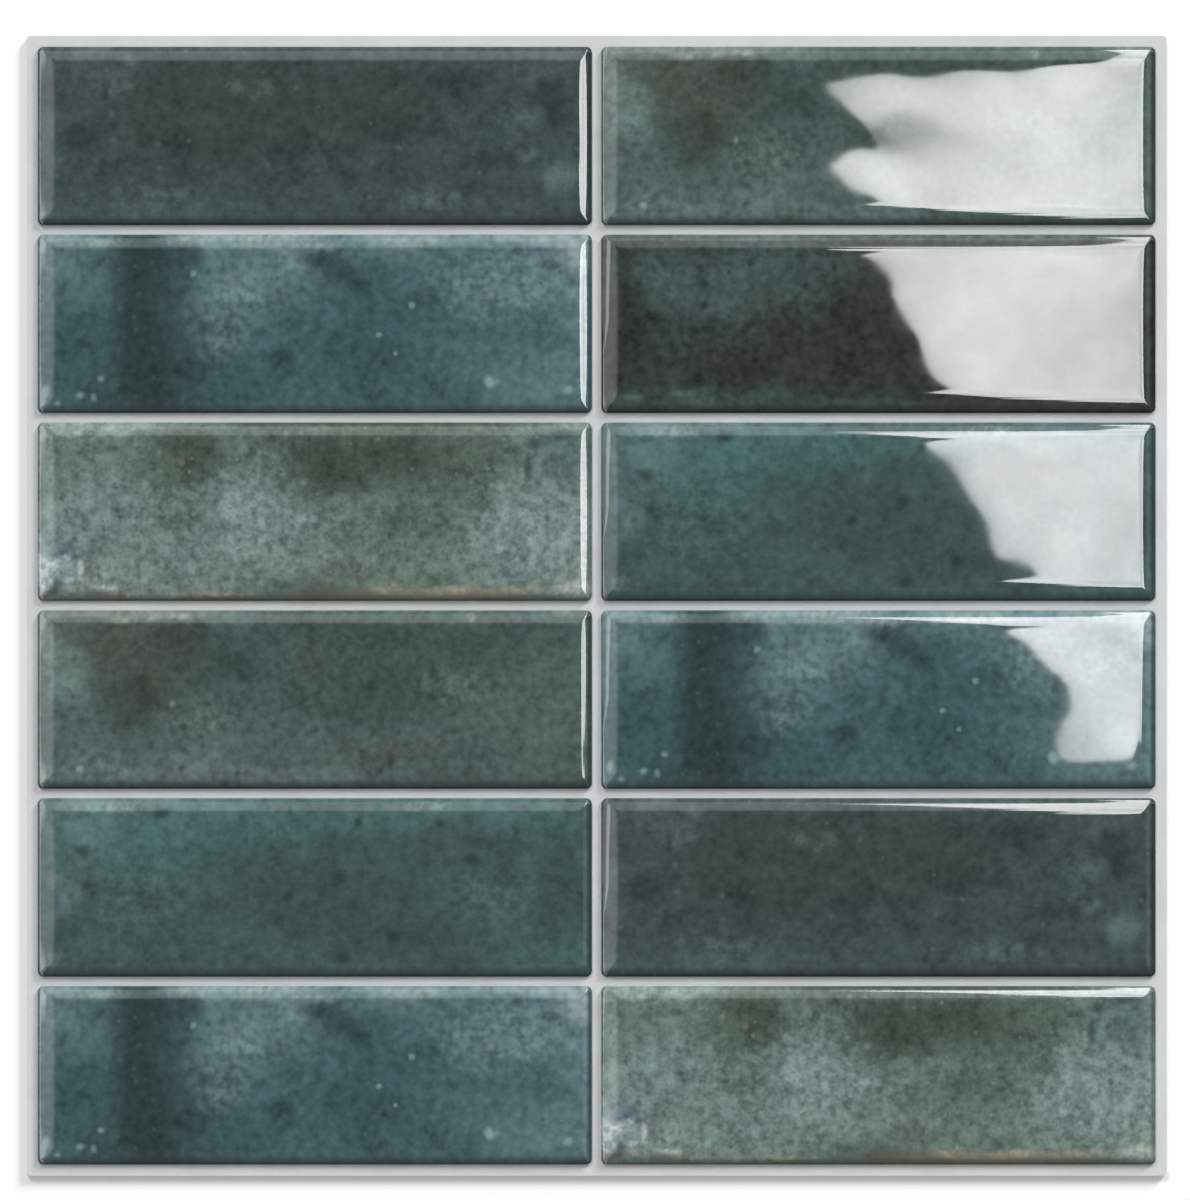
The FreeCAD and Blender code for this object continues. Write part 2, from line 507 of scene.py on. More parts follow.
def speck_group():
    """Small soft specks, one to a cell, in a share of the cells."""
    tree, given, out = new_group(
        "specks",
        {"Position": "Vector", "Spacing": "Float", "Radius": "Float", "Share": "Float"},
        {"Mask": "Float"},
    )
    scale = maths(tree, "DIVIDE", 1, given["Spacing"])
    cells = put(tree, "ShaderNodeTexVoronoi", {"Vector": given["Position"], "Scale": scale},
                voronoi_dimensions="2D")
    chance = put(tree, "ShaderNodeSeparateColor", {0: cells.outputs["Color"]}).outputs
    radius = maths(tree, "MULTIPLY", given["Radius"], maths(tree, "ADD", chance[1], SMALLEST_SPECK))
    near = ease(tree, cells.outputs["Distance"], maths(tree, "DIVIDE", radius, given["Spacing"]), 0.0)
    chosen = maths(tree, "LESS_THAN", chance[0], given["Share"])
    tree.links.new(maths(tree, "MULTIPLY", near, chosen), out["Mask"])
    return tree


tile_position = position_group()
rims = rim_group()
drift = drift_group()
pool = pool_group()
mottle = mottle_group()
specks = speck_group()


class Glaze:
    """One printed design, built up in the order in which a decorator would lay its colours."""

    def __init__(self, name, ground, seed, cloud_size=8):
        self.tree, self.shader, self.material = new_finish(name, roughness=SMOOTHEST_GLAZE, ior=1.5)
        uv = put(self.tree, "ShaderNodeUVMap", uv_map="glaze").outputs["UV"]
        position = use_group(self.tree, tile_position, Map=uv)["Position"]
        self.rims = use_group(self.tree, rims, Position=position)
        self.ragged = use_group(self.tree, drift, Position=position, **RAGGED_DRIFT)["Position"]
        self.crisp = use_group(self.tree, drift, Position=position, **CRISP_DRIFT)["Position"]
        self.broken = use_group(self.tree, mottle, Position=position, Size=cloud_size, Seed=seed)
        self.colour = colour(*ground)

    def lay(self, tint, mask):
        """Lays a colour over what is there by a mask."""
        self.colour = blend(self.tree, mask, self.colour, colour(*tint))

    def scale(self, share):
        """Makes what is there lighter or darker by a share."""
        self.colour = vectors(self.tree, "SCALE", self.colour, share)

    def pools(self, tint, strength, *places, position=None, broken=0.0):
        """Pools of one colour. Each place is x, y, reach along, reach across, and softness of its shore.

        A share of each pool can be broken up, so that it is only there in the lighter flecks.
        """
        tree = self.tree
        flecks = ease(tree, self.broken["Fleck"], *FLECK_RANGE)
        cover = maths(tree, "MULTIPLY_ADD", flecks, broken * strength, (1 - broken) * strength)
        for x, y, along, across, softness in places:
            mask = use_group(tree, pool, Position=position or self.ragged, Centre=(x, y, 0),
                             Reach=(along, across, 1), Softness=softness)["Mask"]
            self.lay(tint, maths(tree, "MULTIPLY", mask, cover))

    def marks(self, tint, strength, *places, broken=0.0):
        """Small marks that stay where they are put: x, y, reach along and reach across."""
        placed = [(*place, MARK_SOFTNESS) for place in places]
        self.pools(tint, strength, *placed, position=self.crisp, broken=broken)

    def mottling(self, cloud, fleck, grain):
        """Makes the colour lighter and darker from place to place, by clouds, flecks and grain."""
        total = 1.0
        for name, share in (("Cloud", cloud), ("Fleck", fleck), ("Grain", grain)):
            change = maths(self.tree, "SUBTRACT", self.broken[name], 0.5)
            total = maths(self.tree, "MULTIPLY_ADD", change, share, total)
        self.scale(total)

    def dots(self, tint, strength, spacing, radius, share):
        """Specks of one colour, scattered over the tile."""
        mask = use_group(self.tree, specks, Position=self.crisp, Spacing=spacing, Radius=radius,
                         Share=share)["Mask"]
        self.lay(tint, maths(self.tree, "MULTIPLY", mask, strength))

    def finish(self, painted_shade_tint, painted_shade_share=0.75):
        """Paints light on the left and upper rims, shade on the right and lower ones, and joins it up."""
        tree = self.tree
        # Painted light on the left and upper rims, then painted shade in the given tint on the other two.
        self.scale(self.rims["Gain"])
        self.lay(painted_shade_tint, maths(tree, "MULTIPLY", self.rims["Shade"], painted_shade_share))
        tree.links.new(self.colour, self.shader.inputs["Base Color"])
        roughness = maths(tree, "MULTIPLY_ADD", self.broken["Cloud"], CLOUD_ROUGHNESS, SMOOTHEST_GLAZE)
        tree.links.new(roughness, self.shader.inputs["Roughness"])
        relief(tree, self.shader, self.broken["Cloud"], GLAZE_RIPPLE)
        return self.material


def slate():
    """Dark slate that turns teal to the right and along its lower edge, with a pale run at the right."""
    glaze = Glaze("slate glaze", (59, 72, 70), seed=1.0)
    glaze.pools((57, 66, 62), 0.7, (-30, 6, 24, 12, 0.8), (10, 8, 20, 9, 0.8))
    glaze.pools((63, 78, 78), 0.6, (0, -18, 80, 5, 0.8), (50, -1, 14, 12, 0.8), (-62, 4, 7, 9, 0.9))
    glaze.pools((45, 57, 55), 0.8, (-62, 1, 5, 3, 0.8), (-36, -1, 5, 3, 0.8), (21, 1, 5, 3, 0.8),
                (63, 9, 4.5, 6, 0.8), (47, -6, 6, 2.5, 0.8), (-8, -4, 6, 2.5, 0.9), (36, 14, 6, 3, 0.9))
    glaze.pools((88, 104, 100), 0.5, (-52, 14, 5, 3, 0.9), (-22, 13, 3, 2, 0.9), (-14, 12, 2.2, 2, 0.9),
                (-42, -16, 9, 3, 0.9), (30, -17, 9, 2.5, 0.9), (56, 4, 4, 4, 0.9), broken=0.6)
    glaze.pools((96, 120, 117), 0.7, (66, -11.5, 3.6, 4.6, 0.9))
    glaze.pools((76, 90, 88), 0.6, (-60, 19, 12, 4, 0.9), (62, 18.5, 12, 4, 0.9), (-70, -1, 3.5, 7, 0.9))
    glaze.pools((78, 96, 95), 0.6, (-44, -20.5, 30, 2.8, 0.9))
    glaze.mottling(0.9, 1.1, 0.2)
    glaze.dots((100, 116, 110), 0.3, 7, 1.1, 0.3)
    glaze.marks((104, 122, 116), 0.5, (57, -5, 2.4, 1.6), (-49.5, 20, 1.8, 1.2), broken=0.6)
    return glaze.finish((34, 42, 41))


def moss():
    """Grey green with a brown pool at the upper left and a paler left end."""
    glaze = Glaze("moss glaze", (71, 87, 83), seed=2.0)
    glaze.pools((106, 128, 122), 0.85, (-66, 7, 5, 9, 0.8))
    glaze.pools((84, 103, 100), 0.7, (-60, -11, 10, 8, 0.9))
    glaze.pools((79, 96, 92), 0.7, (0, -12, 42, 6.5, 0.8))
    glaze.pools((62, 78, 73), 0.7, (17, 9, 22, 9, 0.8), (44, 14, 14, 5, 0.9))
    glaze.pools((54, 69, 65), 0.85, (-20, 10, 6, 4, 0.8), (-31, 15, 6, 4, 0.9), (-30, 5, 5, 3, 0.9))
    glaze.pools((80, 98, 92), 0.7, (64, -3, 9, 15, 0.8), (48, 0, 8, 8, 0.9))
    glaze.pools((96, 112, 109), 0.7, (-46, -20.2, 32, 2.8, 0.9), (-6, -20.5, 22, 2.2, 0.9),
                (-34, -16.5, 10, 4, 0.9))
    glaze.pools((56, 72, 67), 0.7, (13, 19.5, 22, 4.5, 0.9), (18, 0, 18, 6, 0.9))
    glaze.pools((114, 126, 120), 0.6, (-71, 18, 4, 5.5, 0.9))
    glaze.pools((76, 84, 76), 0.9, (-52, 18, 16, 4.5, 0.7), (-48, 11, 13, 6.5, 0.7))
    glaze.pools((60, 68, 61), 0.9, (-47, 2, 9, 6, 0.7), (-37, 14, 6, 5, 0.9), (-49, -5, 5, 4, 0.9))
    glaze.pools((64, 67, 58), 0.45, (-54, 13, 4, 4, 0.9), (-45, 5, 5, 4, 0.9), (-39, 17, 5, 3, 0.9))
    glaze.pools((76, 74, 67), 0.45, (-1, 9, 4, 3, 0.9), (20, -14, 12, 3, 0.9))
    glaze.pools((104, 122, 116), 0.4, (-30, -6, 9, 5, 0.9), (-58, -18, 8, 3, 0.9), (36, 4, 8, 4, 0.9),
                broken=0.8)
    glaze.mottling(0.9, 1.2, 0.2)
    glaze.dots((48, 61, 57), 0.5, 6, 1.4, 0.35)
    glaze.marks((150, 158, 146), 0.5, (-45, 22, 3, 1), (-36, 22.4, 4, 0.9), (-52, 21.3, 3, 0.9),
                (41.5, 21.5, 1, 1.4), broken=0.7)
    # Pale flecks along the top edge, partly a painted highlight where the upper lip catches the light.
    glaze.marks((124, 132, 126), 0.5, (-50, 23.1, 24, 0.9), (68, 23.1, 5, 0.9), broken=0.4)
    glaze.marks((160, 174, 168), 0.5, (-62.8, -18.4, 0.9, 0.9))
    glaze.marks((150, 164, 158), 0.3, (-38, -1, 0.7, 0.7))
    glaze.marks((50, 63, 60), 0.8, (20.3, -16.7, 0.9, 2), (-19, 6, 1.6, 1.2), (-31, 20, 2, 1))
    return glaze.finish((38, 46, 44))


def blue():
    """Grey blue with one dark upright band, pale bloom beside it and a paler right end."""
    glaze = Glaze("blue glaze", (67, 92, 97), seed=3.0)
    glaze.pools((98, 121, 126), 0.7, (-20, 10, 12, 7, 0.9), (-6, 16, 11, 5, 0.9))
    glaze.pools((78, 100, 104), 0.7, (-63, 12, 8, 7, 0.9), (-27, 1, 7, 8, 0.9))
    glaze.pools((92, 116, 121), 0.75, (53, 11, 16, 8, 0.9), (71, 0, 6, 16, 0.9))
    glaze.pools((76, 100, 104), 0.75, (50, -9, 17, 7, 0.9))
    glaze.pools((55, 79, 84), 0.8, (15, -6, 14, 13, 0.8), (-62, -7, 9, 9, 0.8), (-22, -14, 16, 6, 0.9))
    glaze.pools((62, 86, 91), 0.7, (40, -2, 9, 2, 0.8), (28, -17, 14, 4, 0.9), (30, 3, 6, 6, 0.9))
    glaze.pools((98, 121, 124), 0.65, (-69, 18.5, 5, 5, 0.9), (-29, 19.5, 5, 3, 0.9), (-6, 19.5, 9, 3, 0.9),
                (21, 19.5, 9, 3, 0.9), (64, -17, 14, 6, 0.9))
    glaze.pools((134, 152, 154), 0.8, (70, 18.5, 5.5, 4, 0.9))
    glaze.pools((50, 72, 71), 0.6, (-57, -17, 6, 5, 0.9))
    glaze.pools((46, 66, 71), 0.85, (2, 17, 5, 3.4, 0.8), (7, 13, 5, 2.2, 0.8), (12, 10, 4, 1.6, 0.8),
                (-34, 17, 4, 3, 0.8), (-9, -8, 3, 2.4, 0.9))
    glaze.pools((118, 139, 142), 0.4, (-20, 9, 9, 5, 0.9), (53, 11, 16, 8, 0.9), (-26, -3, 6, 5, 0.9),
                broken=0.9)
    glaze.pools((51, 71, 74), 0.8, (-41, 6, 8.4, 40, 0.9), (-37, -16, 9, 14, 0.9))
    glaze.pools((45, 61, 61), 0.9, (-47, 4, 6.5, 90, 0.75), position=glaze.crisp)
    glaze.pools((43, 58, 57), 0.6, (-45, -12, 6, 12, 0.9))
    glaze.mottling(0.9, 1.15, 0.15)
    glaze.dots((40, 60, 64), 0.4, 5, 1.3, 0.4)
    glaze.dots((122, 142, 144), 0.12, 4.4, 1, 0.3)
    glaze.marks((140, 162, 160), 0.5, (26, 5, 0.8, 0.8), (17.2, -3, 0.8, 0.7), (21.5, -8, 0.6, 0.6),
                (-57.2, -14.8, 0.8, 0.7), (-32.5, 13.4, 0.7, 0.8), (-71.7, -17.9, 0.8, 1.4),
                (-59.1, -19.6, 0.8, 0.9))
    glaze.marks((146, 170, 174), 0.55, (47, -15.2, 1.8, 1.2), (67.6, -17.7, 1.2, 1), (46.4, -16, 0.8, 1.3),
                (-62.7, -19, 0.9, 0.8), (-68.9, -21.3, 1, 0.7), broken=0.4)
    glaze.marks((140, 154, 150), 0.45, (-35, 22.2, 6, 1.2), (-16, 21.8, 7, 1.6), (63, 22, 7, 1.4),
                (0, 20.5, 5, 1), (70, 18, 1.6, 3), (-58, 21.5, 6, 1.4), (26, 21.8, 10, 1), broken=0.6)
    # Pale flecks along the top edge, partly a painted highlight where the upper lip catches the light.
    glaze.marks((160, 174, 174), 0.3, (-70, 23.1, 5, 0.9), (-27, 23.1, 10, 0.9), (-8, 23.1, 9, 0.9),
                (24, 23.1, 12, 0.9), (58, 23.1, 16, 0.9), broken=0.3)
    return glaze.finish((42, 56, 59))


def umber():
    """Near black olive, with a blue cloud at the top and green streaks at the foot."""
    glaze = Glaze("umber glaze", (52, 60, 56), seed=4.0)
    glaze.pools((67, 84, 82), 0.85, (-34, 14, 26, 6.5, 0.8), (-46, 6, 11, 5, 0.8), (-57, 12, 7, 6, 0.9))
    glaze.pools((46, 51, 46), 0.85, (-67, 3, 5, 10, 0.8), (-64, -9, 7, 6, 0.9), (-44, -5, 6, 4, 0.9))
    glaze.pools((48, 51, 45), 0.9, (-8, -7, 28, 12, 0.7), (2, 6, 12, 8, 0.8), (30, -4, 24, 20, 0.8),
                (-40, -8, 12, 6, 0.9))
    glaze.pools((66, 84, 78), 0.75, (-46, -20, 24, 2.6, 0.8))
    glaze.pools((56, 68, 65), 0.75, (-6, -20.8, 18, 1.6, 0.8))
    glaze.pools((60, 74, 70), 0.5, (-48, -2, 14, 6, 0.9), (-24, 6, 9, 6, 0.9), (-18, 12, 10, 4, 0.9),
                broken=0.8)
    glaze.mottling(1.3, 1.5, 0.2)
    glaze.dots((32, 37, 34), 0.6, 6, 1.6, 0.4)
    glaze.marks((96, 114, 108), 0.55, (-52, -18.6, 3.4, 0.7), (-66, -19.6, 2.4, 0.7), broken=0.5)
    # A pale broken line along the top edge: a painted highlight where the upper lip catches the light.
    glaze.marks((120, 134, 132), 0.36, (-36, 23.1, 40, 0.8), (38, 23.1, 36, 0.8), broken=0.4)
    return glaze.finish((27, 32, 31))


def sage():
    """Pale grey green with olive clouds along the top, pale bloom, and a rusty lower rim."""
    glaze = Glaze("sage glaze", (96, 114, 107), seed=5.0, cloud_size=7)
    glaze.pools((114, 134, 131), 0.8, (-20, 1, 11, 8, 0.8), (-6, -3, 7, 5, 0.9), (61, -6, 14, 11, 0.8),
                (-58, 0, 9, 9, 0.9))
    glaze.pools((104, 120, 112), 0.7, (14, -13, 26, 5, 0.9), (-34, -13, 16, 5, 0.9))
    glaze.pools((70, 90, 80), 0.6, (-36, 5, 7, 7, 0.9), (18, -4, 24, 4, 0.9), (34, 2, 12, 7, 0.9))
    glaze.pools((128, 146, 146), 0.55, (-67, -15, 8, 7, 0.9), (-50, -19, 6, 3, 0.9),
                (-62, 21, 9, 1.6, 0.9), (-20, 0, 26, 12, 0.9), (58, -6, 16, 12, 0.9), broken=0.6)
    glaze.pools((112, 132, 128), 0.7, (-34, -13, 12, 5, 0.9), (-67, -4, 6, 7, 0.9))
    glaze.pools((126, 142, 144), 0.8, (-68, -16, 6, 6, 0.9), (-73, -14, 2.5, 6, 0.9))
    glaze.pools((60, 72, 61), 0.92, (-34, 15, 9, 6.5, 0.8), (-33, 15, 5, 5, 0.9), (4, 12, 13, 9, 0.7),
                (24, 15, 20, 7, 0.8))
    glaze.pools((82, 97, 86), 0.8, (44, 16, 10, 4, 0.9), (-44, 14, 6, 5, 0.9))
    glaze.pools((82, 103, 104), 0.8, (67, 14, 7, 7, 0.8))
    glaze.pools((72, 92, 84), 0.65, (-31, 0, 5, 6, 0.9), (-73, 10, 2, 9, 0.9))
    glaze.pools((68, 80, 72), 0.65, (24, 21.6, 42, 2.4, 0.8), (-14, 20, 10, 4, 0.8))
    glaze.pools((78, 90, 82), 0.6, (8, -17, 14, 3, 0.9))
    glaze.pools((128, 142, 136), 0.6, (-57, -17, 6, 4, 0.9), (70, -17, 5, 5, 0.9), (-38, -20.7, 12, 2, 0.9))
    glaze.pools((84, 104, 118), 0.8, (-67, -11, 3, 2.6, 0.8))
    glaze.mottling(1.2, 1.4, 0.15)
    glaze.dots((56, 74, 64), 0.45, 3.4, 1.1, 0.5)
    glaze.dots((140, 156, 150), 0.3, 4.2, 0.9, 0.3)
    glaze.pools((124, 108, 92), 0.7, (26, -21.8, 22, 1.6, 0.7), (48, -21.5, 9, 1.4, 0.8),
                position=glaze.crisp, broken=0.5)
    glaze.pools((72, 70, 56), 0.65, (0, -21.7, 9, 2.4, 0.8), (15, -22.4, 4, 1.2, 0.8), broken=0.3)
    glaze.pools((146, 136, 120), 0.6, (30, -22.3, 15, 1.2, 0.8), position=glaze.crisp, broken=0.4)
    glaze.pools((92, 84, 74), 0.7, (8, -23.2, 80, 0.7, 0.8), position=glaze.crisp, broken=0.4)
    glaze.marks((178, 172, 154), 0.55, (20, -20.6, 5, 1.2), (38, -21, 8, 0.9), (56, -20.8, 7, 1),
                (-68, -20.6, 4, 1), (-54, -21.6, 7, 0.7), (-28, -22, 9, 0.6), broken=0.6)
    glaze.marks((190, 194, 186), 0.7, (69, -20.6, 4.5, 2), broken=0.5)
    glaze.marks((56, 72, 74), 0.8, (58.5, 18, 2, 1.2), (57, 12, 0.9, 3), (66, 20.5, 4, 1.2), (-70, -20, 3, 2))
    glaze.marks((128, 120, 108), 0.5, (-35.6, 13.3, 0.9, 0.9))
    glaze.marks((196, 204, 206), 0.75, (-70.5, -14.5, 2.6, 2), (-62.5, -15.4, 0.8, 2.6), (-72, -19, 1.6, 1.8),
                (-65.5, -18.4, 1.2, 0.9), (-66.8, -12.4, 1, 0.8), (-56, -20.5, 3, 0.8), broken=0.85)
    glaze.marks((66, 70, 62), 0.8, (-71, -21.4, 3, 1), (-58, -21.8, 4, 1), broken=0.4)
    # Pale flecks along the top edge, partly a painted highlight where the upper lip catches the light.
    glaze.marks((170, 182, 178), 0.2, (-56, 23, 20, 1), (70, 23, 4, 1), broken=0.4)
    # A dark line along the very top edge: painted shade of the upper arris.
    glaze.pools((52, 58, 50), 0.85, (14, 24, 50, 1.1, 0.8), position=glaze.crisp)
    return glaze.finish((54, 62, 56), 0.45)


def teal():
    """Teal, bluer at the upper left and greener below, with a few dark pits."""
    glaze = Glaze("teal glaze", (63, 85, 82), seed=6.0)
    glaze.pools((68, 99, 99), 0.8, (-46, 11, 16, 8, 0.9), (-18, 16, 16, 5, 0.9))
    glaze.pools((94, 116, 118), 0.7, (-61, 13, 7, 6, 0.9), (-67, -1, 3.4, 6, 0.9))
    glaze.pools((88, 113, 114), 0.65, (-64, 18.5, 10, 4, 0.9))
    glaze.pools((76, 104, 106), 0.6, (-28, 18.5, 24, 4.5, 0.9), (24, 18.5, 26, 3.5, 0.9),
                (54, 18.5, 12, 4, 0.9), (64, -18, 10, 5, 0.9))
    glaze.pools((60, 80, 78), 0.5, (8, 22.2, 26, 1.4, 0.9))
    glaze.pools((58, 75, 73), 0.8, (2, -4, 22, 11, 0.8), (26, -15, 16, 5, 0.9))
    glaze.pools((62, 80, 77), 0.75, (38, 11, 10, 6, 0.8))
    glaze.pools((55, 74, 72), 0.8, (66, -4, 6, 12, 0.9))
    glaze.pools((66, 89, 86), 0.5, (54, -12, 12, 6, 0.9), (56, 13, 6, 5, 0.9))
    glaze.pools((86, 108, 106), 0.35, (-50, 0, 12, 10, 0.9), (48, -2, 8, 6, 0.9), broken=0.9)
    glaze.mottling(0.8, 1.0, 0.2)
    glaze.dots((46, 63, 62), 0.5, 6, 1.4, 0.35)
    glaze.marks((38, 53, 53), 0.75, (-62, 9.6, 1.9, 1.7), (6.4, 3, 1.8, 1.8), (7.2, -18.6, 1.7, 1.5),
                (33.4, 16.8, 1.2, 1.2), (11.6, 17.5, 1.2, 1.2), (-41, 19.8, 1.8, 1.4), (42, 7.5, 1.8, 1.4),
                (-7, -2.5, 1.4, 1.2), (21, -13, 1.6, 1.4))
    glaze.marks((134, 154, 152), 0.5, (-69, -19, 2, 1.6), (29, 21.6, 6, 1.2),
                (-56, 21.4, 9, 1.4), broken=0.7)
    # Pale flecks along the top edge, partly a painted highlight where the upper lip catches the light.
    glaze.marks((112, 130, 130), 0.4, (-56, 23.1, 18, 0.8), broken=0.4)
    return glaze.finish((37, 51, 51))


# Laying the tiles
# The tiles are pressed onto the vinyl while it is warm, two across and six up, each in its place in
# the frame. The designs repeat, and each tile swells in its own way. Four have a softer left lip.
DESIGNS = {
    "glaze_slate": slate(),
    "glaze_moss": moss(),
    "glaze_blue": blue(),
    "glaze_umber": umber(),
    "glaze_sage": sage(),
    "glaze_teal": teal(),
}
LAYOUT = {
    1: ("glaze_slate", "glaze_moss"),
    2: ("glaze_blue", "glaze_umber"),
    3: ("glaze_sage", "glaze_teal"),
    4: ("glaze_moss", "glaze_blue"),
    5: ("glaze_teal", "glaze_slate"),
    6: ("glaze_blue", "glaze_sage"),
}
SOFT_LIPPED = ("tile_row2_right", "tile_row3_right", "tile_row4_right", "tile_row5_right")


def add_object(name, data, *materials):
    """Puts a new object into the scene, at the origin, with its materials if it has any."""
    for material in materials:
        data.materials.append(material)
    added = bpy.data.objects.new(name, data)
    bpy.context.scene.collection.objects.link(added)
    return added


for row, slots in LAYOUT.items():
    for column, (side, slot) in enumerate(zip(("left", "right"), slots)):
        node = f"tile_row{row}_{side}"
        name = f"glazed_row{row}_{side}"
        low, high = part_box(node)
        foot = ((low.x + high.x) / 2, (low.y + high.y) / 2, low.z)
        points = tile_points(10 * row + column, node in SOFT_LIPPED)
        tile = add_object(name, tile_mesh(name, points, foot), DESIGNS[slot])
        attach(tile, "root")
        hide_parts(node)

# Floor
# A white table top that the sheet lies on, liner down. It runs past the picture on every side and
# takes the sheet's soft shadow.
FLOOR_REACH = 60
FLOOR_COLOUR = (252, 252, 252)


def table_top():
    """One square face at the height of the liner's underside, anticlockwise seen from above."""
    corners = np.array([(-1, -1, 0), (1, -1, 0), (1, 1, 0), (-1, 1, 0)]) * FLOOR_REACH
    mesh = bpy.data.meshes.new("floor")
    mesh.from_pydata(corners, [], [(0, 1, 2, 3)])
    return mesh


def white_paint():
    """Matt white. The light on a level surface comes to just over one, so it renders white."""
    _, shader, material = new_finish("white table", roughness=1, ior=1.45)
    shader.inputs["Specular IOR Level"].default_value = 0
    shader.inputs["Base Color"].default_value = colour(*FLOOR_COLOUR)
    return material


add_object("floor", table_top(), white_paint())

# Light
# Soft light from all round and two wide lamps beyond the upper corners, the right one low. Gloss sees
# a dark ceiling with pale panels beyond all four edges of the sheet, and one large bright window.
SKY_LEVEL = 0.45
CEILING_LEVEL = 0.12
HORIZON_LEVEL = 0.9
HORIZON_RISE = (0.35, 0.03)
LOWEST_RISE = 0.05

# A lamp's heading, elevation, spread and level, and a panel's side, the leans at which it begins, is
# full, fades and ends, and its level. A lean is how far a ray goes sideways for each metre up.
LAMPS = {"low right": (52, 16, 16, 0.32), "upper left": (112, 32, 22, 0.28)}
PANELS = [
    ("west", 0.02, 0.26, 0.6, 0.95, 1.9),
    ("west", 0.34, 0.38, 0.42, 0.5, 6.5),
    ("north", 0.06, 0.13, 0.5, 0.8, 1.6),
    ("east", 0.36, 0.41, 0.5, 0.58, 0.75),
    ("south", 0.08, 0.25, 0.6, 0.9, 0.35),
]


def panel(tree, lean, begin, full, fade, end, level):
    """A panel of the ceiling: its level times a smooth rise and a smooth fall along the lean."""
    both = maths(tree, "MULTIPLY", ease(tree, lean, begin, full), ease(tree, lean, end, fade))
    return maths(tree, "MULTIPLY", both, level)


def gloss_room(tree):
    """Brightness of the room for glossy rays: the brightest of the ceiling, panels and horizon."""
    heading = put(tree, "ShaderNodeTexCoord").outputs["Generated"]
    axes = put(tree, "ShaderNodeSeparateXYZ", {0: heading}).outputs
    rise = maths(tree, "MAXIMUM", axes["Z"], LOWEST_RISE)
    east = maths(tree, "DIVIDE", axes["X"], rise)
    north = maths(tree, "DIVIDE", axes["Y"], rise)
    west = maths(tree, "MULTIPLY", east, -1)
    south = maths(tree, "MULTIPLY", north, -1)
    leans = {"west": west, "north": north, "east": east, "south": south}
    brightest = maths(tree, "MULTIPLY", ease(tree, axes["Z"], *HORIZON_RISE), HORIZON_LEVEL)
    brightest = maths(tree, "MAXIMUM", brightest, CEILING_LEVEL)
    for side, *settings in PANELS:
        brightest = maths(tree, "MAXIMUM", brightest, panel(tree, leans[side], *settings))
    return brightest


def room():
    """The world: even for matt surfaces, the room above for gloss, and white for the camera."""
    world = bpy.data.worlds.new("room")
    world.use_nodes = True
    world.cycles.sampling_method = "NONE"
    tree = world.node_tree
    background = tree.nodes["Background"]
    path = put(tree, "ShaderNodeLightPath").outputs
    glossy, seen = path["Is Glossy Ray"], path["Is Camera Ray"]
    even = maths(tree, "MULTIPLY", maths(tree, "SUBTRACT", 1, glossy), SKY_LEVEL)
    light = maths(tree, "MULTIPLY_ADD", glossy, gloss_room(tree), even)
    unseen = maths(tree, "MULTIPLY", light, maths(tree, "SUBTRACT", 1, seen))
    tree.links.new(maths(tree, "ADD", unseen, seen), background.inputs["Strength"])
    background.inputs["Color"].default_value = (1, 1, 1, 1)
    return world


def wide_lamp(name, heading, elevation, spread, level):
    """A wide distant lamp that gives a level surface its share of the light. Angles are in degrees."""
    lamp = bpy.data.lights.new(name, "SUN")
    lamp.angle = np.radians(spread)
    lamp.energy = level * np.pi / np.sin(np.radians(elevation))
    holder = add_object(name, lamp)
    holder.rotation_euler = (0, np.radians(90 - elevation), np.radians(heading))
    holder.visible_glossy = False


bpy.context.scene.world = room()
for name, settings in LAMPS.items():
    wide_lamp(name + " lamp", *settings)

# Window
# One large window over the upper right, seen only in gloss. Its outline is as wavy as old glass shows
# it. A point is where its reflection falls on a level tile, in millimetres from the sheet's centre.
CAMERA_HEIGHT = 8.0
CAMERA_PLACE = (-0.43 * MM, 1.51 * MM)
WINDOW_HEIGHT = 0.45
WINDOW_LEVEL = 15.6
WINDOW_OUTLINE = [
    (68, 140.2), (75, 140.6), (84, 141.4), (91, 142), (97, 142.1), (108, 142.6), (118, 146), (126, 152),
    (132.8, 161), (137, 180), (140, 225), (142.5, 300), (144, 500), (226, 505), (228, 490), (228, 60),
    (226, 10), (217, -12), (205, -26), (198, -32), (190, -34.6), (175, -35.2), (160, -35.2), (151, -36),
    (145.5, -38), (142, -40.8), (134, -41.6), (128, -41.6), (124.6, -40), (123.2, -37), (124, -32.6),
    (126.4, -29), (126.3, -24.5), (122.8, -20.5), (117.4, -15.2), (112.9, -10.5), (109.2, -6.5),
    (109.6, -1.5), (113.4, 3), (117, 6.6), (116.4, 9.2), (111.8, 11.4), (107.8, 13.4), (106.1, 16),
    (104.5, 22), (102.2, 26.6), (99.5, 32), (97.5, 37), (94.2, 41), (90.6, 44), (89.6, 47.5), (92, 52),
    (95.4, 57), (91.6, 61), (88.4, 66), (86.9, 73), (82.5, 80), (80.6, 83.6), (80.6, 86.6), (79.2, 89.4),
    (75.6, 93.5), (72.6, 98), (75, 102), (76.2, 105), (75, 107.4), (72.2, 109.4), (68.2, 111.6),
    (64.6, 114.8), (62.9, 117), (63.4, 118.9), (69.5, 120.4), (76.4, 122), (76, 124.8), (73.8, 127.8),
    (69.9, 131.4), (66, 135), (62, 138.6), (64, 139.8),
]

